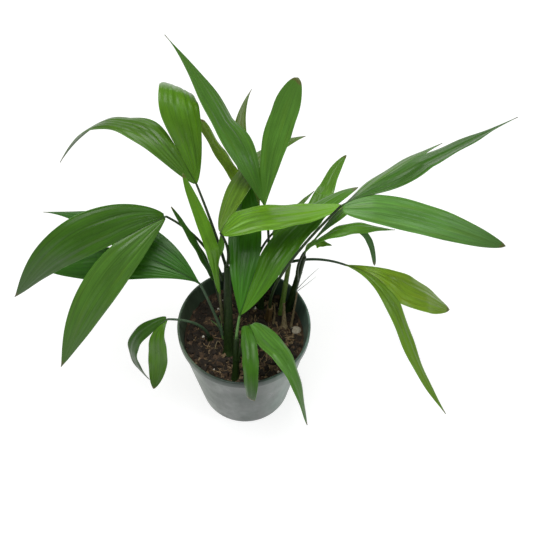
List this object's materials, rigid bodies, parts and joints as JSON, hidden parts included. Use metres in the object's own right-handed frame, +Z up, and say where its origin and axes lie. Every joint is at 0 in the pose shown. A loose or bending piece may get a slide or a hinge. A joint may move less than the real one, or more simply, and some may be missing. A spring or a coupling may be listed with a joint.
{
  "type": "potted bamboo palm",
  "caption": "Young clump palm with thin canes and two-lobed leaves, growing in a round plastic nursery pot.",
  "frame": {"origin": "centre of the pot's flat underside", "axes": "+Z up; the side that the picture was taken from faces -Y, and its right-hand side is +X"},
  "size_m": [0.3957, 0.2624, 0.2891],
  "materials": {
    "pot": "satin moulded plastic",
    "soil": "coarse damp growing mix",
    "cane": "smooth",
    "cane_green": "smooth",
    "dry_sheath": "papery",
    "leaf_mid": "semi-gloss leaf",
    "leaf_dark": "glossy leaf",
    "leaf_bright": "glossy leaf",
    "leaf_bluish": "semi-gloss leaf",
    "leaf_olive": "semi-gloss leaf"
  },
  "bodies": {
    "root": {"pot": "pot", "soil": "soil", "cane_main": "cane", "cane_front": "cane", "cane_back": "cane", "cane_middle": "cane", "cane_green": "cane_green", "cane_right": "cane", "shoot_left": "cane", "sheath_dry": "dry_sheath", "stalk_dry": "dry_sheath", "frond_upper_left": "leaf_mid", "frond_tall": "leaf_bluish", "frond_centre": "leaf_bright", "frond_back": "leaf_olive", "frond_front_broad": "leaf_mid", "frond_back_folded": "leaf_mid", "frond_right_high": "leaf_mid", "frond_right_back": "leaf_mid", "frond_right_small": "leaf_dark", "frond_right_drooping": "leaf_bright", "frond_front_drooping": "leaf_mid", "frond_left_low": "leaf_mid", "frond_left_middle": "leaf_bluish", "frond_left_large": "leaf_dark", "frond_young_light": "leaf_bright", "frond_young_dark": "leaf_dark"}
  },
  "joints": []
}
